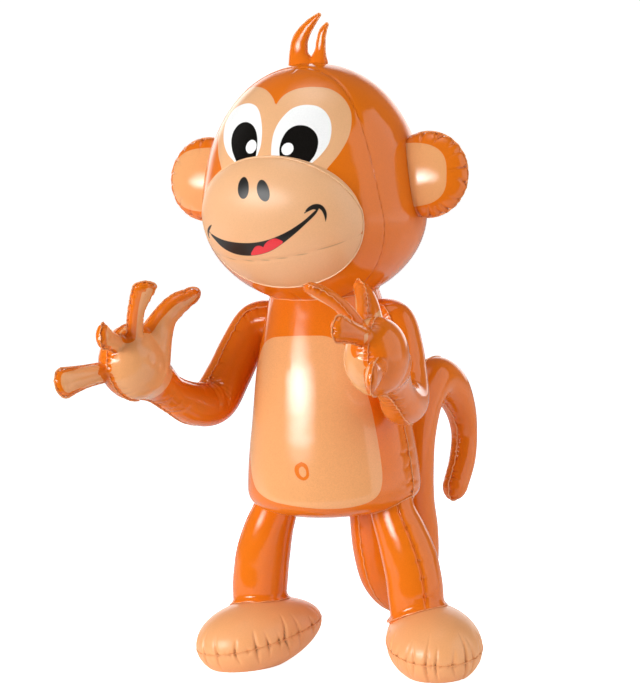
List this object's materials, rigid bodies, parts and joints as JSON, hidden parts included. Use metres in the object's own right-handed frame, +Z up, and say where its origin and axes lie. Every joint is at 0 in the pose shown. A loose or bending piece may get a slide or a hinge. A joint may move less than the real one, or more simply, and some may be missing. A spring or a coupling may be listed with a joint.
{
  "type": "inflatable monkey",
  "caption": "Inflatable toy monkey of glossy vinyl that stands on two flat-soled feet, with raised open hands, round ears and a long hooked tail.",
  "frame": {"origin": "on the floor, under the middle of the monkey's bounding box; the spine is 8 mm to +X and 13 mm to -Y of it", "axes": "+Z up from the soles to the hair tuft, -Y the way the monkey faces, +X its left side"},
  "size_m": [0.319, 0.467, 0.6001],
  "materials": {
    "orange_vinyl": "glossy printed vinyl film",
    "tan_vinyl": "glossy printed vinyl film",
    "clear_plug": "soft clear vinyl"
  },
  "bodies": {
    "root": {"torso": "orange_vinyl", "head": "orange_vinyl", "muzzle": "tan_vinyl", "ear_left": "orange_vinyl", "ear_right": "orange_vinyl", "hair_tuft": "orange_vinyl", "arm_left": "orange_vinyl", "arm_right": "orange_vinyl", "leg_left": "orange_vinyl", "leg_right": "orange_vinyl", "foot_left": "tan_vinyl", "foot_right": "tan_vinyl", "tail": "orange_vinyl", "valve": "clear_plug"}
  },
  "joints": []
}
